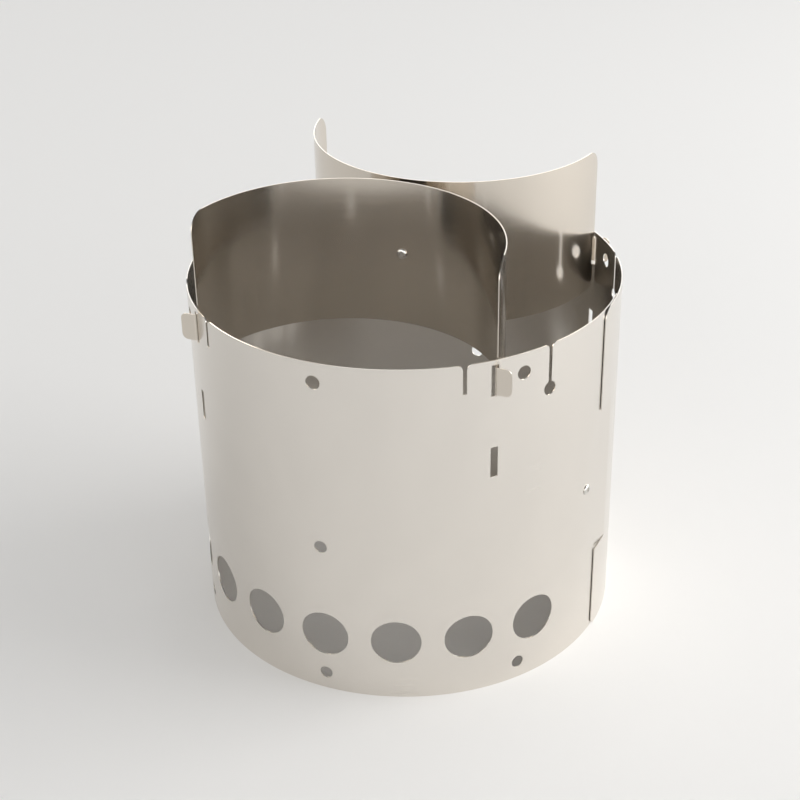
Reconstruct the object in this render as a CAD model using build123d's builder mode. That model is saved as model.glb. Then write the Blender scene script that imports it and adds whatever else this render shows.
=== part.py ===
"""Twig stove: two half-ring body panels and two half-round pot supports of thin stainless sheet.

Millimetres. +Z is up and the stove stands on Z = 0, centred on the vertical axis. The middle of
the front panel faces -Y. The rear half is the front half turned half a turn about +Z. Angles on
the wall are in degrees from the middle of a panel, positive towards its right end as seen from
outside.
"""
from build123d import *
from math import asin, cos, degrees, radians, sin, sqrt
import os

# Sheet and overall sizes
sheet = 0.48
ring_radius = 108.0
ring_height = 184.5
support_radius = 76.4
support_height = 76.2
support_rise = 46.8
support_back_gap = 3.6

# Clearances
seam_gap = 0.3
rivet_fit = 0.05
collar_play = 0.5
collar_seat_gap = 0.02
support_end_gap = 0.5

# Seam between the two body panels
seam_angle = 84.2
flap_angle = 12.0
tongue_angle = 11.5
ramp_angle = 8.0
finger_top_edge = 130.0
finger_bottom_edge = 48.0
tongue_slit = 0.25
tongue_corner = 5.0
finger_top_corner = 6.0
finger_bottom_corner = 4.0
flap_corner = 4.0

# Air holes
air_hole_count = 7
air_hole_pitch = 19.2
air_hole_diameter = 24.8
air_hole_height = 33.6

# Small round holes, of which the side ones stand at an angle from the tab slots
side_hole_offset = 8.0
drain_hole_diameter = 6.6
drain_hole_height = 9.7
middle_hole_diameter = 6.6
middle_hole_height = 85.2
hanging_hole_diameter = 7.0
hanging_hole_drop = 10.0

# Slots for the tabs of the pot supports
tab_slot_width = 3.7
tab_slot_height = 15.8
tab_slot_drop = 2.4
tab_slot_bias = 0.2
lower_slot_drop = 45.2

# Narrow slots and keyhole slots, open at the rim, at angles from the tab slots
rim_slot_width = 1.9
rim_slot_flare = 2.6
narrow_slot_offset = -7.7
narrow_slot_depth = 14.8
keyhole_offset = 16.1
keyhole_diameter = 7.0
keyhole_drop = 22.9

# Pot supports and their tabs
neck_height = 15.0
tab_height = 13.8
tab_lift = 1.2
tab_length = 7.6
tab_corner = 3.0
tab_bend_radius = 0.7
tab_standoff = 0.8
support_top_corner = 10.0
support_bottom_corner = 3.0
corner_slack = 0.05

# Blind rivets, with the parts that they hold
rivet_diameter = 3.2
rivet_head_diameter = 5.4
rivet_head_height = 0.95
rivet_head_edge = 0.2
rivet_tail_diameter = 4.6
rivet_tail_height = 0.7
rivet_tail_bevel = 0.3
mandrel_diameter = 1.8
mandrel_recess = 0.25
mandrel_bulb_diameter = 3.0
mandrel_bulb_height = 0.4
washer_diameter = 8.0
washer_thickness = 0.5
collar_diameter = 5.0
collar_length = 2.6
stud_angle = 78.0
stud_height = 90.7

# Places that follow from the sizes
ring_inner = ring_radius - sheet
support_inner = support_radius - sheet
support_bottom = ring_height + support_rise - support_height
support_centre = -(support_radius + support_back_gap / 2)
support_end = support_end_gap - sqrt(ring_inner ** 2 - support_radius ** 2)
rivet_hole = rivet_diameter + 2 * rivet_fit
left_angle = seam_angle - 180

# Reach of the cuts through a sheet and beyond its ends
cut_depth = 8.0
cut_margin = 1.0
cut_margin_angle = 1.0

# Ends of the pot supports, which stop short of the wall, and the slots under them
support_end_rise = max(support_end - support_centre, 0)
neck_outer = sqrt(support_radius ** 2 - support_end_rise ** 2)
neck_inner = sqrt(support_inner ** 2 - support_end_rise ** 2)
tab_slot_angle = degrees(asin((neck_outer + neck_inner) / 2 / ring_radius)
                         - tab_slot_bias / ring_radius)
side_hole_angle = tab_slot_angle + side_hole_offset
narrow_slot_angle = tab_slot_angle + narrow_slot_offset
keyhole_angle = tab_slot_angle + keyhole_offset

# Each panel's own axis stands a little towards its left end, so that its right end
# passes inside the other panel and its left end passes outside it
seam_shift = (sheet + seam_gap) / 2
panel_axis = Vector(sin(radians(left_angle)), -cos(radians(left_angle)), 0) * seam_shift
tongue_outer = ring_inner - seam_gap - 2 * seam_shift


def on_wall(angle, height, radius):
    """A plane facing outwards from the panel's axis, with X along the wall and Y up."""
    outward = Vector(sin(radians(angle)), -cos(radians(angle)), 0)
    along = Vector(cos(radians(angle)), sin(radians(angle)), 0)
    return Plane(panel_axis + outward * radius + Vector(0, 0, height), x_dir=along, z_dir=outward)


def at(radius, angle):
    """A point in a level sketch, from a radius and an angle on the wall."""
    return (radius * sin(radians(angle)), -radius * cos(radians(angle)))


def arc_of(radius, start, end):
    """Draw an arc about the sketch's origin."""
    return ThreePointArc(at(radius, start), at(radius, (start + end) / 2), at(radius, end))


def wall_sector(start, end, bottom, top, mode=Mode.ADD, slack=0.0):
    """Extrude a stretch of the wall, made thicker by slack on both sides when it is a cut."""
    with BuildSketch(Plane(panel_axis + Vector(0, 0, bottom))) as stretch:
        with BuildLine():
            inner = arc_of(ring_inner - slack, start, end)
            outer = arc_of(ring_radius + slack, start, end)
            Line(inner @ 0, outer @ 0)
            Line(inner @ 1, outer @ 1)
        make_face()
    extrude(stretch.sketch, amount=top - bottom, mode=mode)


def wall_hole(angle, height, diameter):
    """Cut a round hole through the wall."""
    with BuildSketch(on_wall(angle, height, ring_radius - cut_depth / 2)) as hole:
        Circle(diameter / 2)
    extrude(hole.sketch, amount=cut_depth, mode=Mode.SUBTRACT)


def wall_slot(angle, bottom, top, width):
    """Cut an upright slot through the wall."""
    with BuildSketch(on_wall(angle, (bottom + top) / 2, ring_radius - cut_depth / 2)) as slot:
        Rectangle(width, top - bottom)
    extrude(slot.sketch, amount=cut_depth, mode=Mode.SUBTRACT)


def short_edges(point):
    """The edges through the thickness of the sheet that stand at one point."""
    part = BuildPart._get_context().part
    return part.edges().filter_by(
        lambda edge: edge.length < 1.5 * sheet and (edge.center() - point).length < sheet
    )


def round_wall_corner(angle, height, radius, shift=0.0):
    """Round a corner of the wall, at an angle and a distance along the wall from it."""
    corner = on_wall(angle, height, ring_radius - sheet / 2)
    fillet(short_edges(corner.from_local_coords(Vector(shift, 0, 0))), radius)


def rim_slot(angle, depth):
    """Cut a narrow slot down from the rim and ease its entry."""
    wall_slot(angle, ring_height - depth, ring_height + cut_margin, rim_slot_width)
    for side in (-1, 1):
        round_wall_corner(angle, ring_height, rim_slot_flare, side * rim_slot_width / 2)


def round_support_corners(height, radius, inward):
    """Round the corners of the support's two upright ends at one height."""
    reach = 2 * (support_radius + cut_depth)
    side = radius + cut_margin
    middle = (radius - cut_margin) / 2
    with BuildSketch(Plane.YZ.offset(-reach / 2)) as corner:
        with Locations((support_end + middle, height + inward * middle)):
            Rectangle(side, side)
        with Locations((support_end + radius - corner_slack,
                        height + inward * (radius - corner_slack))):
            Circle(radius, mode=Mode.SUBTRACT)
    extrude(corner.sketch, amount=reach, mode=Mode.SUBTRACT)


def side_profile(seat):
    """The plane through a stud's axis: X away from the axis, Y towards its head."""
    return Plane(seat.origin, x_dir=seat.x_dir, z_dir=-seat.y_dir)


def tube(seat, outer, inner, start, length):
    """A plain ring about a stud's axis, from start to start - length."""
    with BuildSketch(seat.offset(start - length)) as ring:
        Circle(outer / 2)
        Circle(inner / 2, mode=Mode.SUBTRACT)
    extrude(ring.sketch, amount=length)


# Body panel: the main wall with its flaps at the right end, less the notch between them
with BuildPart() as body_panel:
    wall_sector(left_angle, seam_angle + flap_angle, 0, ring_height)
    wall_sector(seam_angle, seam_angle + flap_angle + cut_margin_angle,
                finger_bottom_edge, finger_top_edge, Mode.SUBTRACT, cut_margin)
    wall_sector(left_angle - cut_margin_angle, left_angle + ramp_angle,
                finger_bottom_edge, finger_top_edge, Mode.SUBTRACT, cut_margin)

    # Corners of the flaps and of the fingers that lap over the other panel
    for height in (0, ring_height):
        round_wall_corner(seam_angle + flap_angle, height, flap_corner)
    round_wall_corner(left_angle, 0, finger_bottom_corner)
    round_wall_corner(left_angle, ring_height, finger_top_corner)

    # Tongue between the fingers: a ramp down from the wall, then an arc inside the other panel
    with BuildSketch(Plane(panel_axis + Vector(0, 0, finger_bottom_edge + tongue_slit))):
        with BuildLine():
            tongue_outside = arc_of(tongue_outer, left_angle - tongue_angle, left_angle)
            tongue_inside = arc_of(tongue_outer - sheet, left_angle - tongue_angle, left_angle)
            Line(tongue_outside @ 0, tongue_inside @ 0)
            Line(tongue_outside @ 1, at(ring_radius, left_angle + ramp_angle))
            Line(tongue_inside @ 1, at(ring_inner, left_angle + ramp_angle))
            Line(at(ring_radius, left_angle + ramp_angle), at(ring_inner, left_angle + ramp_angle))
        make_face()
    extrude(amount=finger_top_edge - finger_bottom_edge - 2 * tongue_slit)
    for height in (finger_bottom_edge + tongue_slit, finger_top_edge - tongue_slit):
        tip = on_wall(left_angle - tongue_angle, height, tongue_outer - sheet / 2)
        fillet(short_edges(tip.origin), tongue_corner)

    # Slot in the tongue, open at its tip, for the collar of the other panel's stud
    slot_half = collar_diameter / 2 + collar_play
    with BuildSketch(on_wall(stud_angle - 180, stud_height, ring_radius - cut_depth)):
        Circle(slot_half)
        with Locations((-ring_radius * radians(tongue_angle) / 2, 0)):
            Rectangle(ring_radius * radians(tongue_angle), 2 * slot_half)
    extrude(amount=2 * cut_depth, mode=Mode.SUBTRACT)

    # Air holes in a row above the foot
    for i in range(air_hole_count):
        row_angle = (i - (air_hole_count - 1) / 2) * air_hole_pitch
        wall_hole(row_angle, air_hole_height, air_hole_diameter)

    # Drain holes, hanging holes and the single hole at mid height
    for hole_angle in (-side_hole_angle, 0, side_hole_angle):
        wall_hole(hole_angle, drain_hole_height, drain_hole_diameter)
        wall_hole(hole_angle, ring_height - hanging_hole_drop, hanging_hole_diameter)
    wall_hole(0, middle_hole_height, middle_hole_diameter)

    # Tab slots at two heights, under the ends of the pot support
    for slot_top in (ring_height - tab_slot_drop, ring_height - lower_slot_drop):
        for side in (-1, 1):
            wall_slot(side * tab_slot_angle, slot_top - tab_slot_height, slot_top, tab_slot_width)

    # Narrow slots and keyholes open at the rim
    for side in (-1, 1):
        rim_slot(side * narrow_slot_angle, narrow_slot_depth)
        rim_slot(side * keyhole_angle, keyhole_drop)
        wall_hole(side * keyhole_angle, ring_height - keyhole_drop, keyhole_diameter)

    # Hole for the stud beside the seam
    wall_hole(stud_angle, stud_height, rivet_hole)

# Pot support: a half-round sheet with straight legs, cut off level in front of the wall, and
# a bent tab at each end
tab_inner_y = at(ring_radius, tab_slot_angle)[1] - tab_standoff
neck_bottom = ring_height - tab_slot_drop - tab_slot_height
support_stud_height = support_bottom + support_height / 2
with BuildPart() as pot_support:
    with BuildSketch(Plane(Vector(0, support_centre, support_bottom))):
        with BuildLine():
            sheet_outside = arc_of(support_radius, 90, 270)
            sheet_inside = arc_of(support_inner, 90, 270)
            for side in (-1, 1):
                Polyline((side * support_radius, 0), (side * support_radius, -ring_radius),
                         (side * support_inner, -ring_radius), (side * support_inner, 0))
        make_face()
        with Locations((0, support_end - support_centre - ring_radius)):
            Rectangle(2 * ring_radius, 2 * ring_radius, mode=Mode.SUBTRACT)
    extrude(amount=support_height)
    round_support_corners(support_bottom, support_bottom_corner, 1)
    round_support_corners(support_bottom + support_height, support_top_corner, -1)

    # Each end has a neck that rests in its slot, and a tab bent away from the support
    for side in (-1, 1):
        with BuildSketch(Plane.XY.offset(neck_bottom)):
            Polygon((side * neck_inner, support_end), (side * neck_inner, tab_inner_y),
                    (side * neck_outer, tab_inner_y), (side * neck_outer, support_end),
                    align=None)
        extrude(amount=neck_height)
        with BuildSketch(Plane.XY.offset(neck_bottom + tab_lift)) as tab:
            with BuildLine():
                Polyline((side * neck_inner, support_end),
                         (side * neck_inner, tab_inner_y - sheet),
                         (side * (neck_outer + tab_length), tab_inner_y - sheet),
                         (side * (neck_outer + tab_length), tab_inner_y),
                         (side * neck_outer, tab_inner_y),
                         (side * neck_outer, support_end), close=True)
            make_face()
            inside_bend = tab.vertices().sort_by_distance((side * neck_outer, tab_inner_y))[0]
            fillet(inside_bend, tab_bend_radius)
            outside_bend = tab.vertices().sort_by_distance(
                (side * neck_inner, tab_inner_y - sheet))[0]
            fillet(outside_bend, tab_bend_radius + sheet)
        extrude(amount=tab_height)
        for height in (neck_bottom + tab_lift, neck_bottom + tab_lift + tab_height):
            tab_tip = Vector(side * (neck_outer + tab_length), tab_inner_y - sheet / 2, height)
            fillet(short_edges(tab_tip), tab_corner)

    # Hole for the stud in the middle of the support
    with BuildSketch(Plane(Vector(0, -cut_depth, support_stud_height), x_dir=(1, 0, 0),
                           z_dir=(0, 1, 0))):
        Circle(rivet_hole / 2)
    extrude(amount=2 * cut_depth, mode=Mode.SUBTRACT)

# Seats of the two kinds of stud: the origin is under the head, and Z points to the head
seam_seat = on_wall(stud_angle, stud_height, ring_radius)
head_sink = sqrt(support_inner ** 2 - (rivet_head_diameter / 2) ** 2)
support_seat = Plane((0, support_centre + head_sink, support_stud_height), x_dir=(-1, 0, 0),
                     z_dir=(0, -1, 0))
collar_start = sqrt(ring_inner ** 2 - (collar_diameter / 2) ** 2) - ring_radius - collar_seat_gap
washer_start = support_centre + head_sink + support_back_gap / 2 - collar_seat_gap
seam_grip = -collar_start + collar_length + washer_thickness
support_grip = -washer_start + washer_thickness


def rivet_sleeve(seat, grip):
    """A domed head, the shank through the sheet and the tail set against the last washer."""
    bore = mandrel_diameter / 2 + rivet_fit
    shank = rivet_diameter / 2
    tail = rivet_tail_diameter / 2
    head = rivet_head_diameter / 2
    dome_middle = (bore + (head - bore) * cos(radians(45)),
                   rivet_head_edge + (rivet_head_height - rivet_head_edge) * sin(radians(45)))
    with BuildSketch(side_profile(seat)) as profile:
        with BuildLine():
            Polyline((bore, rivet_head_height), (bore, -grip - rivet_tail_height),
                     (tail - rivet_tail_bevel, -grip - rivet_tail_height),
                     (tail, -grip - rivet_tail_bevel), (tail, -grip),
                     (shank, -grip), (shank, 0), (head, 0), (head, rivet_head_edge))
            ThreePointArc((head, rivet_head_edge), dome_middle, (bore, rivet_head_height))
        make_face()
    revolve(profile.sketch, axis=Axis(seat.origin, seat.z_dir))


def rivet_mandrel(seat, grip):
    """The broken-off mandrel, with its bulb behind the tail."""
    stem = mandrel_diameter / 2
    bulb = mandrel_bulb_diameter / 2
    back = -grip - rivet_tail_height
    with BuildSketch(side_profile(seat)) as profile:
        with BuildLine():
            Polyline((0, rivet_head_height - mandrel_recess),
                     (stem, rivet_head_height - mandrel_recess), (stem, back), (bulb, back),
                     (stem, back - mandrel_bulb_height), (0, back - mandrel_bulb_height),
                     close=True)
        make_face()
    revolve(profile.sketch, axis=Axis(seat.origin, seat.z_dir))


with BuildPart() as seam_rivet:
    rivet_sleeve(seam_seat, seam_grip)

with BuildPart() as seam_mandrel:
    rivet_mandrel(seam_seat, seam_grip)

with BuildPart() as seam_collar:
    tube(seam_seat, collar_diameter, rivet_hole, collar_start, collar_length)

with BuildPart() as seam_washer:
    tube(seam_seat, washer_diameter, rivet_hole, collar_start - collar_length, washer_thickness)

with BuildPart() as support_rivet:
    rivet_sleeve(support_seat, support_grip)

with BuildPart() as support_mandrel:
    rivet_mandrel(support_seat, support_grip)

with BuildPart() as support_washer:
    tube(support_seat, washer_diameter, rivet_hole, washer_start, washer_thickness)

# Every piece stands in the front half and again, half a turn about +Z, in the rear half
half = {
    "body_panel": body_panel,
    "pot_support": pot_support,
    "seam_rivet": seam_rivet,
    "seam_mandrel": seam_mandrel,
    "seam_collar": seam_collar,
    "seam_washer": seam_washer,
    "support_rivet": support_rivet,
    "support_mandrel": support_mandrel,
    "support_washer": support_washer,
}
os.makedirs("parts", exist_ok=True)
for side, turn in (("front", 0), ("rear", 180)):
    for name, piece in half.items():
        with BuildPart() as placed:
            add(piece.part.rotate(Axis.Z, turn))
        placed.part.label = f"{side}_{name}"
        export_step(placed.part, f"parts/{side}_{name}.step")
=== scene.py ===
"""Looks of the twig stove, laid out as an add-on and run as a script.

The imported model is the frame: metres, +Z up, the middle of the front panel towards -Y. Each
operator finishes one piece or one group of like pieces, and the last one sets the stage.
"""
import bmesh
import bpy
import math
from mathutils import Matrix, Vector


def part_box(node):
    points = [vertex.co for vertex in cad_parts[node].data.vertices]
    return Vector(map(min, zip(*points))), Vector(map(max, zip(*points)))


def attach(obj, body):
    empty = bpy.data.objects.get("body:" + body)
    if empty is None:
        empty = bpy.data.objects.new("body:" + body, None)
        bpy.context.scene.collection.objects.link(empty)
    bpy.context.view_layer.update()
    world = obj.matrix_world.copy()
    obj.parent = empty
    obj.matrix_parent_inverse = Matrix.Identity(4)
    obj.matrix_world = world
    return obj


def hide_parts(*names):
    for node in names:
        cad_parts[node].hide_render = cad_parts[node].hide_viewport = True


bl_info = {
    "name": "Twig stove",
    "version": (1, 0, 0),
    "blender": (4, 5, 0),
    "location": "View3D > Sidebar > Twig stove",
    "description": "Finishes the sheet steel and the rivets of a knock-down twig stove",
    "category": "Object",
}

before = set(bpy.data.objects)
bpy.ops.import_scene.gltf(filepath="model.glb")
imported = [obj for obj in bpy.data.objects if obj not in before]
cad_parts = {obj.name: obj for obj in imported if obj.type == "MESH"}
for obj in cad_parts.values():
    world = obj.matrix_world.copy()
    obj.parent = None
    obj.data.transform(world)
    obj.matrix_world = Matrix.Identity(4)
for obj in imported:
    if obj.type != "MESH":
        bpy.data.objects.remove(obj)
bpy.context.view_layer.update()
MM = 0.001
BODIES = {"front": "front_half", "rear": "rear_half"}

# Roughness of each kind of small part, and the size of the marks on it
SLEEVE_FINISH = (0.22, 1.0 * MM)
MANDREL_FINISH = (0.42, 0.4 * MM)
WASHER_FINISH = (0.3, 1.5 * MM)

# How much of the colour is left where the sheet was wiped, and in the marks on small parts
WIPED_SHARE = 0.93
MARKED_SHARE = 0.8

# How often a rolling line changes in one radian of its way round the stove, how far the lines,
# the wipes and the marks move the roughness, and how far the lines smear a reflection
CHANGES_PER_RADIAN = 3.0
LINE_GLOSS = 0.02
WIPE_GLOSS = (-0.015, 0.02)
MARK_GLOSS = (-0.05, 0.1)
SMEAR = 0.6

# Heights of the bumps
WAVE_HEIGHT = 0.6 * MM
LINE_HEIGHT = 0.02 * MM
MARK_HEIGHT = 0.02 * MM

# Spun parts: distance below which points are joined, points along a dome, and the angle from
# which an edge stays sharp
WELD_DISTANCE = 0.002 * MM
DOME_POINTS = 12
SHARP_ANGLE = math.radians(35)

# Width of the camera's sensor in millimetres
SENSOR_WIDTH = 36.0

# Half the width of the floor in metres, and its surface
FLOOR_REACH = 6.0
FLOOR_ROUGHNESS = 0.9
FLOOR_SPECULAR = 0.2

# The lamp in metres: its two widths, how far it is to the right, its height and the height
# that it is aimed at
LAMP_SIZE = (1.6, 1.2)
LAMP_ASIDE = 1.8
LAMP_HEIGHT = 0.9
LAMP_AIM = 0.1

# The light fades between these heights of the sky, where 0 is the horizon and 1 is overhead
FADE_START = 0.25
FADE_END = 0.6


class StoveSteel(bpy.types.PropertyGroup):
    """Colours and surface of the stainless sheet."""

    wall_colour: bpy.props.StringProperty(
        name="Wall colour", description="Reflected colour of the body panels, sRGB hex",
        default="#E2DDD6")
    support_colour: bpy.props.StringProperty(
        name="Support colour", description="Reflected colour of the pot supports, sRGB hex",
        default="#D8D0C5")
    wall_roughness: bpy.props.FloatProperty(
        name="Wall roughness", description="Roughness of the satin cold-rolled wall",
        default=0.24, min=0.0, max=1.0)
    support_roughness: bpy.props.FloatProperty(
        name="Support roughness", description="Roughness of the brighter pot supports",
        default=0.17, min=0.0, max=1.0)
    grain_spacing: bpy.props.FloatProperty(
        name="Grain spacing", description="Distance between the fine rolling lines",
        default=0.6 * MM, min=0.01 * MM, unit="LENGTH", precision=5)
    wave_size: bpy.props.FloatProperty(
        name="Wave size", description="Width of the slow waves that hand rolling leaves",
        default=55.0 * MM, min=1.0 * MM, unit="LENGTH")


class StoveRivets(bpy.types.PropertyGroup):
    """Sizes and colours of the blind rivets, the washers and the collars."""

    head_diameter: bpy.props.FloatProperty(
        name="Head diameter", description="Width of the domed head",
        default=5.4 * MM, unit="LENGTH", precision=5)
    head_height: bpy.props.FloatProperty(
        name="Head height", description="Height of the domed head above the sheet",
        default=0.95 * MM, unit="LENGTH", precision=5)
    shank_diameter: bpy.props.FloatProperty(
        name="Shank diameter", description="Width of the shank through the sheet",
        default=3.2 * MM, unit="LENGTH", precision=5)
    tail_diameter: bpy.props.FloatProperty(
        name="Tail diameter", description="Width of the tail set behind the washer",
        default=4.6 * MM, unit="LENGTH", precision=5)
    tail_height: bpy.props.FloatProperty(
        name="Tail height", description="Length of the set tail",
        default=0.7 * MM, unit="LENGTH", precision=5)
    bore_diameter: bpy.props.FloatProperty(
        name="Bore diameter", description="Width of the bore that the mandrel fills",
        default=1.9 * MM, unit="LENGTH", precision=5)
    head_edge: bpy.props.FloatProperty(
        name="Head edge", description="Upright edge of the head below its dome",
        default=0.2 * MM, unit="LENGTH", precision=5)
    tail_bevel: bpy.props.FloatProperty(
        name="Tail bevel", description="Bevel at the end of the tail",
        default=0.3 * MM, unit="LENGTH", precision=5)
    washer_diameter: bpy.props.FloatProperty(
        name="Washer diameter", description="Width of the washers",
        default=8.0 * MM, unit="LENGTH", precision=5)
    collar_diameter: bpy.props.FloatProperty(
        name="Collar diameter", description="Width of the collars that slide in the seams",
        default=5.0 * MM, unit="LENGTH", precision=5)
    hole_diameter: bpy.props.FloatProperty(
        name="Hole diameter", description="Width of the hole in the washers and collars",
        default=3.3 * MM, unit="LENGTH", precision=5)
    edge_break: bpy.props.FloatProperty(
        name="Edge break", description="Bevel that tumbling leaves on the washers",
        default=0.06 * MM, unit="LENGTH", precision=5)
    sides: bpy.props.IntProperty(
        name="Sides", description="Faces round each rivet, washer and collar",
        default=64, min=12)
    rivet_colour: bpy.props.StringProperty(
        name="Rivet colour", description="Colour of the rivet sleeves, sRGB hex",
        default="#D8D5D0")
    mandrel_colour: bpy.props.StringProperty(
        name="Mandrel colour", description="Colour of the snapped mandrel ends, sRGB hex",
        default="#B9B5AE")
    washer_colour: bpy.props.StringProperty(
        name="Washer colour", description="Colour of the washers and collars, sRGB hex",
        default="#C9C6C1")


class StoveStage(bpy.types.PropertyGroup):
    """Camera, floor and light."""

    azimuth: bpy.props.FloatProperty(
        name="Azimuth", description="Camera angle round the stove from its front",
        default=math.radians(22.7), subtype="ANGLE")
    elevation: bpy.props.FloatProperty(
        name="Elevation", description="Camera angle above the floor",
        default=math.radians(30.32), subtype="ANGLE")
    distance: bpy.props.FloatProperty(
        name="Distance", description="Distance from the camera to the middle of the ring",
        default=852.9 * MM, unit="LENGTH")
    aim_height: bpy.props.FloatProperty(
        name="Aim height", description="Height of the middle of the ring",
        default=92.2 * MM, unit="LENGTH")
    lens: bpy.props.FloatProperty(
        name="Lens", description="Focal length on a sensor 36 mm wide", default=72.7, min=1.0)
    turn_aside: bpy.props.FloatProperty(
        name="Turn aside", description="Turn of the camera to the left of its aim",
        default=math.radians(0.222), subtype="ANGLE")
    turn_up: bpy.props.FloatProperty(
        name="Turn up", description="Turn of the camera above its aim",
        default=math.radians(0.973), subtype="ANGLE")
    roll: bpy.props.FloatProperty(
        name="Roll", description="Roll of the camera", default=math.radians(0.946),
        subtype="ANGLE")
    floor_colour: bpy.props.StringProperty(
        name="Floor colour", description="Colour of the floor, sRGB hex", default="#F4F3F1")
    sky_colour: bpy.props.StringProperty(
        name="Sky colour", description="Colour of the light all round, sRGB hex",
        default="#FFFFFF")
    low_level: bpy.props.FloatProperty(
        name="Low light", description="Strength of the light near the horizon",
        default=2.95, min=0.0)
    high_level: bpy.props.FloatProperty(
        name="High light", description="Strength of the light overhead", default=0.2, min=0.0)
    right_share: bpy.props.FloatProperty(
        name="Right share", description="How much brighter the right side is than the middle",
        default=0.3, min=0.0, max=1.0)
    key_power: bpy.props.FloatProperty(
        name="Key power", description="Power of the broad soft lamp on the right",
        default=20.0, min=0.0, unit="POWER")


def linear(hex_colour):
    """An sRGB hex colour as linear red, green, blue and alpha."""
    digits = hex_colour.lstrip("#")
    values = [int(digits[i:i + 2], 16) / 255 for i in (0, 2, 4)]
    return [v / 12.92 if v <= 0.04045 else ((v + 0.055) / 1.055) ** 2.4 for v in values] + [1.0]


def add_node(tree, kind, settings=None, links=None):
    """Add a node, give it its settings, and link its inputs from a dictionary of sockets."""
    node = tree.nodes.new(kind)
    for name, value in (settings or {}).items():
        if hasattr(node, name):
            setattr(node, name, value)
        else:
            node.inputs[name].default_value = value
    for name, socket in (links or {}).items():
        tree.links.new(socket, node.inputs[name])
    return node


def darker(colour, share):
    """A linear colour with a share of its light left."""
    return [c * share for c in colour[:3]] + [1.0]


def new_material(name):
    """An empty node material with its output and one metal shader."""
    material = bpy.data.materials.new(name)
    material.use_nodes = True
    tree = material.node_tree
    tree.nodes.clear()
    shader = add_node(tree, "ShaderNodeBsdfPrincipled", {"Metallic": 1.0})
    add_node(tree, "ShaderNodeOutputMaterial", links={"Surface": shader.outputs["BSDF"]})
    return material, tree, shader


def ramp(tree, value, low, high, start, end):
    """Map a value from one range to another, held at the ends."""
    node = add_node(tree, "ShaderNodeMapRange",
                    {"From Min": low, "From Max": high, "To Min": start, "To Max": end},
                    {"Value": value})
    return node.outputs["Result"]


def rolled_sheet(name, colour, roughness, spacing, wave):
    """Cold-rolled stainless sheet. Its fine lines run round the ring, the way the coil was
    rolled, slow waves bend the reflections a little, and faint wipe marks vary the gloss."""
    material, tree, shader = new_material(name)
    place = add_node(tree, "ShaderNodeTexCoord").outputs["Object"]
    split = add_node(tree, "ShaderNodeSeparateXYZ", links={"Vector": place})
    turn = add_node(tree, "ShaderNodeMath", {"operation": "ARCTAN2"},
                    {0: split.outputs["X"], 1: split.outputs["Y"]})

    # Noise drawn out round the stove and squeezed from top to bottom makes level lines
    unrolled = add_node(tree, "ShaderNodeCombineXYZ",
                        links={"X": turn.outputs[0], "Z": split.outputs["Z"]})
    stretched = add_node(tree, "ShaderNodeMapping",
                         {"Scale": (CHANGES_PER_RADIAN, 1.0, 1.0 / spacing)},
                         {"Vector": unrolled.outputs[0]})
    lines = add_node(tree, "ShaderNodeTexNoise", {"Scale": 1.0, "Detail": 3.0, "Roughness": 0.6},
                     {"Vector": stretched.outputs[0]})
    waves = add_node(tree, "ShaderNodeTexNoise",
                     {"Scale": 1.0 / wave, "Detail": 1.0, "Roughness": 0.4}, {"Vector": place})
    wipes = add_node(tree, "ShaderNodeTexNoise",
                     {"Scale": 0.35 / wave, "Detail": 5.0, "Roughness": 0.65, "Distortion": 0.6},
                     {"Vector": place})

    tone = add_node(tree, "ShaderNodeMix",
                    {"data_type": "RGBA", "A": linear(colour),
                     "B": darker(linear(colour), WIPED_SHARE)},
                    {"Factor": ramp(tree, wipes.outputs["Fac"], 0.4, 0.7, 0.0, 1.0)})
    tree.links.new(tone.outputs["Result"], shader.inputs["Base Color"])
    gloss = add_node(tree, "ShaderNodeMath", {"operation": "ADD"},
                     {0: ramp(tree, lines.outputs["Fac"], 0.3, 0.7,
                              roughness - LINE_GLOSS, roughness + LINE_GLOSS),
                      1: ramp(tree, wipes.outputs["Fac"], 0.35, 0.65, *WIPE_GLOSS)})
    tree.links.new(gloss.outputs[0], shader.inputs["Roughness"])
    slow = add_node(tree, "ShaderNodeBump", {"Strength": 0.25, "Distance": WAVE_HEIGHT},
                    {"Height": waves.outputs["Fac"]})
    fine = add_node(tree, "ShaderNodeBump", {"Strength": 0.05, "Distance": LINE_HEIGHT},
                    {"Height": lines.outputs["Fac"], "Normal": slow.outputs["Normal"]})
    tree.links.new(fine.outputs["Normal"], shader.inputs["Normal"])

    # Lines that run level smear the reflections up and down
    upright = add_node(tree, "ShaderNodeCombineXYZ", {"Z": 1.0})
    tree.links.new(upright.outputs[0], shader.inputs["Tangent"])
    shader.inputs["Anisotropic"].default_value = SMEAR
    return material


def turned_steel(name, colour, roughness, mark_size):
    """Small stainless parts, headed or stamped: slightly mottled, with a soft burnished gloss."""
    material, tree, shader = new_material(name)
    place = add_node(tree, "ShaderNodeTexCoord").outputs["Object"]
    marks = add_node(tree, "ShaderNodeTexNoise",
                     {"Scale": 1.0 / mark_size, "Detail": 4.0, "Roughness": 0.6},
                     {"Vector": place})
    tone = add_node(tree, "ShaderNodeMix",
                    {"data_type": "RGBA", "A": linear(colour),
                     "B": darker(linear(colour), MARKED_SHARE)},
                    {"Factor": ramp(tree, marks.outputs["Fac"], 0.45, 0.75, 0.0, 1.0)})
    tree.links.new(tone.outputs["Result"], shader.inputs["Base Color"])
    low, high = (roughness + change for change in MARK_GLOSS)
    tree.links.new(ramp(tree, marks.outputs["Fac"], 0.3, 0.7, low, high),
                   shader.inputs["Roughness"])
    bump = add_node(tree, "ShaderNodeBump", {"Strength": 0.15, "Distance": MARK_HEIGHT},
                    {"Height": marks.outputs["Fac"]})
    tree.links.new(bump.outputs["Normal"], shader.inputs["Normal"])
    return material


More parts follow.
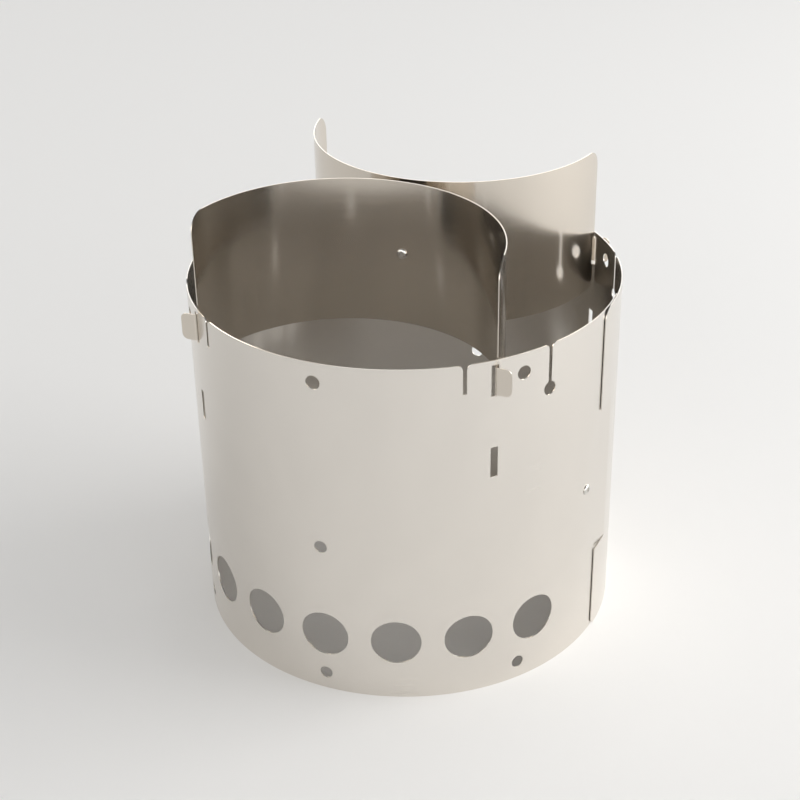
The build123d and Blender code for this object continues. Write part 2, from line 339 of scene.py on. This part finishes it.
def finish_node(node, material):
    """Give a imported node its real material."""
    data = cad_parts[node].data
    data.materials.clear()
    data.materials.append(material)


def spans(node, *directions):
    """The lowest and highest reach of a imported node's mesh along each direction."""
    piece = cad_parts[node]
    points = [piece.matrix_world @ vertex.co for vertex in piece.data.vertices]
    reaches = []
    for direction in directions:
        values = [point.dot(direction) for point in points]
        reaches.append((min(values), max(values)))
    return reaches


def seat_of(node, outward):
    """The middle of the end face that looks outward, and the length along that axis."""
    up = Vector((0, 0, 1))
    along = up.cross(outward)
    (a0, a1), (u0, u1), (o0, o1) = spans(node, along, up, outward)
    return along * (a0 + a1) / 2 + up * (u0 + u1) / 2 + outward * o1, o1 - o0


def outward_of(node):
    """The direction in which a stud faces: away from the stove's axis, or along Y for the
    studs of the pot supports."""
    low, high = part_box(node)
    middle = (Vector(low) + Vector(high)) / 2
    if "support" in node:
        return Vector((0, math.copysign(1, middle.y), 0))
    return Vector((middle.x, middle.y, 0)).normalized()


class Tree:
    """A geometry node group whose inputs are named sizes, made one socket at a time."""

    def __init__(self, name, lengths):
        self.group = bpy.data.node_groups.new(name, "GeometryNodeTree")
        face = self.group.interface
        for length in lengths:
            face.new_socket(length, in_out="INPUT", socket_type="NodeSocketFloat")
        face.new_socket("Sides", in_out="INPUT", socket_type="NodeSocketInt")
        face.new_socket("Seat", in_out="INPUT", socket_type="NodeSocketVector")
        face.new_socket("Facing", in_out="INPUT", socket_type="NodeSocketVector")
        face.new_socket("Material", in_out="INPUT", socket_type="NodeSocketMaterial")
        face.new_socket("Geometry", in_out="OUTPUT", socket_type="NodeSocketGeometry")
        self.given = add_node(self.group, "NodeGroupInput").outputs

    def node(self, kind, settings=None, links=None):
        """Add a node to this tree."""
        return add_node(self.group, kind, settings, links)

    def feed(self, node, values):
        """Feed the first inputs of a node with sockets or plain numbers."""
        for i, value in enumerate(values):
            if isinstance(value, (int, float)):
                node.inputs[i].default_value = value
            else:
                self.group.links.new(value, node.inputs[i])
        return node.outputs[0]

    def math(self, operation, first, second):
        """One arithmetic step."""
        return self.feed(self.node("ShaderNodeMath", {"operation": operation}), (first, second))

    def point(self, across, height):
        """A point of the half section: its distance from the bore and its height."""
        return self.feed(self.node("ShaderNodeCombineXYZ"), (across, height))

    def line(self, start, end):
        """A straight stretch of the half section."""
        return self.node("GeometryNodeCurvePrimitiveLine",
                         links={"Start": start, "End": end}).outputs["Curve"]

    def spin(self, stretches, bore):
        """Spin the half section about the bore, weld it, seat it and give it its material."""
        joined = self.node("GeometryNodeJoinGeometry")
        for stretch in stretches:
            self.group.links.new(stretch, joined.inputs[0])
        circle = self.node("GeometryNodeCurvePrimitiveCircle",
                           links={"Resolution": self.given["Sides"], "Radius": bore})
        swept = self.node("GeometryNodeCurveToMesh",
                          links={"Curve": circle.outputs["Curve"],
                                 "Profile Curve": joined.outputs[0]})
        welded = self.node("GeometryNodeMergeByDistance", {"Distance": WELD_DISTANCE},
                           {"Geometry": swept.outputs[0]})
        smooth = self.node("GeometryNodeSetShadeSmooth", links={"Geometry": welded.outputs[0]})
        points = self.node("GeometryNodePoints", {"Count": 1},
                           {"Position": self.given["Seat"]})
        turn = self.node("FunctionNodeEulerToRotation", links={"Euler": self.given["Facing"]})
        seated = self.node("GeometryNodeInstanceOnPoints",
                           links={"Points": points.outputs[0], "Instance": smooth.outputs[0],
                                  "Rotation": turn.outputs[0]})
        real = self.node("GeometryNodeRealizeInstances", links={"Geometry": seated.outputs[0]})
        dressed = self.node("GeometryNodeSetMaterial",
                            links={"Geometry": real.outputs[0],
                                   "Material": self.given["Material"]})
        self.node("NodeGroupOutput", links={"Geometry": dressed.outputs[0]})
        return self.group


def rivet_tree():
    """A blind rivet's sleeve: domed head, shank, and the tail set behind the washer."""
    tree = Tree("blind_rivet_sleeve", ["Head Diameter", "Head Height", "Head Edge", "Shank",
                                       "Tail Diameter", "Tail Height", "Bevel", "Grip", "Bore"])
    given = tree.given
    bore = tree.math("DIVIDE", given["Bore"], 2)

    def reach(name):
        """How far a named width reaches beyond the bore."""
        return tree.math("SUBTRACT", tree.math("DIVIDE", given[name], 2), bore)

    head, shank, tail = reach("Head Diameter"), reach("Shank"), reach("Tail Diameter")
    grip = tree.math("MULTIPLY", given["Grip"], -1)
    end = tree.math("SUBTRACT", grip, given["Tail Height"])
    bevel = given["Bevel"]
    corners = [tree.point(0, given["Head Height"]), tree.point(0, end),
               tree.point(tree.math("SUBTRACT", tail, bevel), end),
               tree.point(tail, tree.math("ADD", end, bevel)), tree.point(tail, grip),
               tree.point(shank, grip), tree.point(shank, 0),
               tree.point(head, 0), tree.point(head, given["Head Edge"])]
    stretches = [tree.line(*pair) for pair in zip(corners, corners[1:])]
    quarter = tree.node("GeometryNodeCurveArc", {"Resolution": DOME_POINTS, "Radius": 1.0,
                                                 "Sweep Angle": math.radians(90)})
    size = tree.point(head, tree.math("SUBTRACT", given["Head Height"], given["Head Edge"]))
    dome = tree.node("GeometryNodeTransform",
                     links={"Geometry": quarter.outputs["Curve"], "Scale": size,
                            "Translation": tree.point(0, given["Head Edge"])})
    return tree.spin(stretches + [dome.outputs[0]], bore)


def ring_tree():
    """A washer or collar: a plain ring with its edges barely broken."""
    tree = Tree("stamped_ring", ["Outer Diameter", "Thickness", "Bevel", "Bore"])
    given = tree.given
    bore = tree.math("DIVIDE", given["Bore"], 2)
    outer = tree.math("SUBTRACT", tree.math("DIVIDE", given["Outer Diameter"], 2), bore)
    inset = tree.math("SUBTRACT", outer, given["Bevel"])
    back = tree.math("MULTIPLY", given["Thickness"], -1)
    corners = [tree.point(0, 0), tree.point(0, back), tree.point(inset, back),
               tree.point(outer, tree.math("ADD", back, given["Bevel"])),
               tree.point(outer, tree.math("MULTIPLY", given["Bevel"], -1)),
               tree.point(inset, 0), tree.point(0, 0)]
    stretches = [tree.line(*pair) for pair in zip(corners, corners[1:])]
    return tree.spin(stretches, bore)


def spun_piece(name, group, values, seat, outward, sides, material):
    """Run a tree on an empty mesh and keep the result as a plain mesh at the origin. The sweep
    lays the height of the section along -Z."""
    piece = bpy.data.objects.new(name, bpy.data.meshes.new(name))
    bpy.context.scene.collection.objects.link(piece)
    modifier = piece.modifiers.new("spin", "NODES")
    modifier.node_group = group
    sockets = {item.name: item.identifier for item in group.interface.items_tree
               if item.in_out == "INPUT"}
    for key, value in {**values, "Sides": sides, "Seat": seat, "Material": material,
                       "Facing": outward.to_track_quat("-Z", "Y").to_euler()}.items():
        modifier[sockets[key]] = value
    bpy.context.view_layer.update()
    graph = bpy.context.evaluated_depsgraph_get()
    mesh = bpy.data.meshes.new_from_object(piece.evaluated_get(graph))
    piece.modifiers.remove(modifier)
    piece.data = mesh
    mesh.name = name
    if not mesh.polygons:
        raise RuntimeError(f"{name} came out empty")
    face_outwards(mesh)
    mesh.set_sharp_from_angle(angle=SHARP_ANGLE)
    return piece


def face_outwards(mesh):
    """Turn every face of a closed mesh to the outside."""
    work = bmesh.new()
    work.from_mesh(mesh)
    bmesh.ops.recalc_face_normals(work, faces=work.faces)
    work.to_mesh(mesh)
    work.free()


class STOVE_OT_panels(bpy.types.Operator):
    """Finish the two body panels as satin cold-rolled stainless"""

    bl_idname = "stove.panels"
    bl_label = "Body panels"

    def execute(self, context):
        steel = context.scene.stove_steel
        material = rolled_sheet("stainless_sheet_satin_rolled", steel.wall_colour,
                                steel.wall_roughness, steel.grain_spacing, steel.wave_size)
        for side in BODIES:
            finish_node(f"{side}_body_panel", material)
        return {"FINISHED"}


class STOVE_OT_supports(bpy.types.Operator):
    """Finish the two pot supports as brighter cold-rolled stainless"""

    bl_idname = "stove.supports"
    bl_label = "Pot supports"

    def execute(self, context):
        steel = context.scene.stove_steel
        material = rolled_sheet("stainless_sheet_bright_rolled", steel.support_colour,
                                steel.support_roughness, steel.grain_spacing, steel.wave_size)
        for side in BODIES:
            finish_node(f"{side}_pot_support", material)
        return {"FINISHED"}


class STOVE_OT_rivets(bpy.types.Operator):
    """Make the four blind rivets and dress their snapped mandrels"""

    bl_idname = "stove.rivets"
    bl_label = "Rivets"

    def execute(self, context):
        look = context.scene.stove_rivets
        sleeve = turned_steel("stainless_rivet_headed", look.rivet_colour, *SLEEVE_FINISH)
        mandrel = turned_steel("steel_mandrel_snapped", look.mandrel_colour, *MANDREL_FINISH)
        group = rivet_tree()
        for side, body in BODIES.items():
            for place in ("seam", "support"):
                node = f"{side}_{place}_rivet"
                outward = outward_of(node)
                top, length = seat_of(node, outward)
                values = {"Head Diameter": look.head_diameter, "Head Height": look.head_height,
                          "Head Edge": look.head_edge, "Shank": look.shank_diameter,
                          "Tail Diameter": look.tail_diameter, "Tail Height": look.tail_height,
                          "Bevel": look.tail_bevel, "Bore": look.bore_diameter,
                          "Grip": length - look.head_height - look.tail_height}
                piece = spun_piece(f"{node}_spun", group, values,
                                   top - outward * look.head_height, outward, look.sides, sleeve)
                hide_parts(node)
                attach(piece, body)
                finish_node(f"{side}_{place}_mandrel", mandrel)
        return {"FINISHED"}


class STOVE_OT_washers(bpy.types.Operator):
    """Make the washers and collars on the studs"""

    bl_idname = "stove.washers"
    bl_label = "Washers and collars"

    def execute(self, context):
        look = context.scene.stove_rivets
        stamped = turned_steel("stainless_washer_stamped", look.washer_colour, *WASHER_FINISH)
        group = ring_tree()
        for side, body in BODIES.items():
            for kind, width in (("seam_washer", look.washer_diameter),
                                ("seam_collar", look.collar_diameter),
                                ("support_washer", look.washer_diameter)):
                node = f"{side}_{kind}"
                outward = outward_of(f"{side}_{kind.split('_')[0]}_rivet")
                top, length = seat_of(node, outward)
                values = {"Outer Diameter": width, "Thickness": length,
                          "Bevel": look.edge_break, "Bore": look.hole_diameter}
                piece = spun_piece(f"{node}_spun", group, values, top, outward, look.sides,
                                   stamped)
                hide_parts(node)
                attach(piece, body)
        return {"FINISHED"}


class STOVE_OT_stage(bpy.types.Operator):
    """Set the camera, the floor and the light"""

    bl_idname = "stove.stage"
    bl_label = "Stage"

    def execute(self, context):
        look = context.scene.stove_stage
        set_camera(context.scene, look)
        set_floor(look)
        set_light(context.scene, look)
        return {"FINISHED"}


def set_camera(scene, look):
    """Place the camera at the photograph's angle."""
    forward = Vector((0, math.cos(look.elevation), -math.sin(look.elevation)))
    right = Vector((1, 0, 0))
    up = right.cross(forward)
    place = Vector((0, 0, look.aim_height)) - forward * look.distance
    aside = Matrix.Rotation(look.turn_aside, 3, up)
    forward, right = aside @ forward, aside @ right
    raised = Matrix.Rotation(look.turn_up, 3, right)
    forward, up = raised @ forward, raised @ up
    rolled = Matrix.Rotation(look.roll, 3, forward)
    right, up = rolled @ right, rolled @ up
    turned = Matrix((right, up, -forward)).transposed().to_4x4()
    turned.translation = place
    data = bpy.data.cameras.new("camera")
    data.lens = look.lens
    data.sensor_width = SENSOR_WIDTH
    camera = bpy.data.objects.new("camera", data)
    camera.matrix_world = Matrix.Rotation(look.azimuth, 4, "Z") @ turned
    scene.collection.objects.link(camera)
    scene.camera = camera


def set_floor(look):
    """A plain pale floor, matt and large enough to fill the view."""
    reach = FLOOR_REACH
    corners = [(-reach, -reach, 0), (reach, -reach, 0), (reach, reach, 0), (-reach, reach, 0)]
    data = bpy.data.meshes.new("floor")
    data.from_pydata(corners, [], [(0, 1, 2, 3)])
    floor = bpy.data.objects.new("floor", data)
    bpy.context.scene.collection.objects.link(floor)
    material, _, shader = new_material("floor_matt_paper")
    shader.inputs["Metallic"].default_value = 0.0
    shader.inputs["Roughness"].default_value = FLOOR_ROUGHNESS
    shader.inputs["Specular IOR Level"].default_value = FLOOR_SPECULAR
    shader.inputs["Base Color"].default_value = linear(look.floor_colour)
    data.materials.append(material)


def set_light(scene, look):
    """Pale walls of light all round, brighter on the right, under a dim ceiling, and one broad
    soft lamp on the right."""
    to_right = Vector((math.cos(look.azimuth), math.sin(look.azimuth), 0))
    world = bpy.data.worlds.new("soft_room")
    world.use_nodes = True
    tree = world.node_tree
    tree.nodes.clear()
    way = add_node(tree, "ShaderNodeTexCoord").outputs["Generated"]
    height = add_node(tree, "ShaderNodeSeparateXYZ", links={"Vector": way})
    level = ramp(tree, height.outputs["Z"], FADE_START, FADE_END,
                 look.low_level, look.high_level)
    aside = add_node(tree, "ShaderNodeVectorMath", {"operation": "DOT_PRODUCT"}, {0: way})
    aside.inputs[1].default_value = to_right
    share = ramp(tree, aside.outputs["Value"], -1.0, 1.0, 1 - look.right_share,
                 1 + look.right_share)
    total = add_node(tree, "ShaderNodeMath", {"operation": "MULTIPLY"}, {0: level, 1: share})
    sky = add_node(tree, "ShaderNodeBackground", {"Color": linear(look.sky_colour)},
                   {"Strength": total.outputs[0]})
    add_node(tree, "ShaderNodeOutputWorld", links={"Surface": sky.outputs[0]})
    scene.world = world

    data = bpy.data.lights.new("key", "AREA")
    data.shape = "RECTANGLE"
    data.size, data.size_y = LAMP_SIZE
    data.energy = look.key_power
    key = bpy.data.objects.new("key", data)
    key.location = to_right * LAMP_ASIDE + Vector((0, 0, LAMP_HEIGHT))
    aim = Vector((0, 0, LAMP_AIM)) - key.location
    key.rotation_euler = aim.to_track_quat("-Z", "Y").to_euler()
    scene.collection.objects.link(key)
    scene.view_settings.view_transform = "Standard"


class STOVE_PT_panel(bpy.types.Panel):
    """Sizes, colours and steps of the twig stove"""

    bl_idname = "STOVE_PT_panel"
    bl_label = "Twig stove"
    bl_space_type = "VIEW_3D"
    bl_region_type = "UI"
    bl_category = "Twig stove"

    def draw(self, context):
        for step in STEPS:
            self.layout.operator(step.bl_idname)
        for name in GROUPS:
            box = self.layout.box()
            group = getattr(context.scene, name)
            for key in group.bl_rna.properties.keys():
                if key not in ("rna_type", "name"):
                    box.prop(group, key)


GROUPS = {"stove_steel": StoveSteel, "stove_rivets": StoveRivets, "stove_stage": StoveStage}
STEPS = (STOVE_OT_panels, STOVE_OT_supports, STOVE_OT_rivets, STOVE_OT_washers,
         STOVE_OT_stage)


def register():
    """Register the groups, the operators and the panel."""
    for name, group in GROUPS.items():
        bpy.utils.register_class(group)
        setattr(bpy.types.Scene, name, bpy.props.PointerProperty(type=group))
    for step in (*STEPS, STOVE_PT_panel):
        bpy.utils.register_class(step)


def unregister():
    """Take the panel, the operators and the groups away again."""
    for step in (STOVE_PT_panel, *reversed(STEPS)):
        bpy.utils.unregister_class(step)
    for name, group in GROUPS.items():
        delattr(bpy.types.Scene, name)
        bpy.utils.unregister_class(group)


def main():
    """Run every step in order."""
    register()
    bpy.ops.stove.panels()
    bpy.ops.stove.supports()
    bpy.ops.stove.rivets()
    bpy.ops.stove.washers()
    bpy.ops.stove.stage()


if __name__ == "__main__":
    main()
